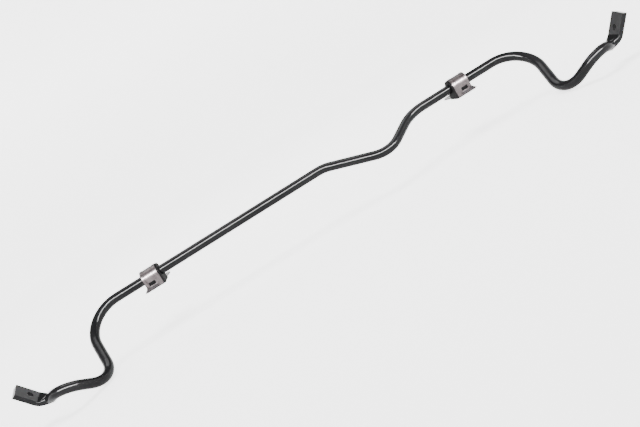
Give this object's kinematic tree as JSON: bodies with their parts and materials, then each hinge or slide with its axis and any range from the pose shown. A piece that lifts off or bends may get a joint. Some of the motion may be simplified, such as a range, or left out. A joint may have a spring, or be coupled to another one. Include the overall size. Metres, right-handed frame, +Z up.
{
  "type": "stabilizer bar",
  "caption": "Bent round stabilizer bar with S-curved arms, flattened drilled ends, an offset jog, and two latched steel clamps over rubber bushes.",
  "frame": {"origin": "on the torsion axis, midway between the two clamps", "axes": "+X along the torsion section towards the end with the jog, +Y away from the arms, +Z up, away from the clamps' flat seats"},
  "size_m": [1.1976, 0.2425, 0.1143],
  "materials": {
    "bar_paint": "gloss black paint",
    "bush_rubber": "moulded black rubber",
    "clamp_steel": "zinc-flake coated pressed steel"
  },
  "bodies": {
    "bar": {"stabilizer_bar": "bar_paint"},
    "left_clamp": {"left_bush": "bush_rubber", "left_strap": "clamp_steel", "left_base_plate": "clamp_steel"},
    "right_clamp": {"right_bush": "bush_rubber", "right_strap": "clamp_steel", "right_base_plate": "clamp_steel"}
  },
  "joints": [
    {"name": "left_clamp_swing", "type": "hinge", "parent": "bar", "child": "left_clamp", "pos_m": [-0.3447, 0, 0], "axis": [1, 0, 0], "range_deg": [-25, 25]},
    {"name": "right_clamp_swing", "type": "hinge", "parent": "bar", "child": "right_clamp", "pos_m": [0.3447, 0, 0], "axis": [1, 0, 0], "range_deg": [-25, 25]}
  ]
}
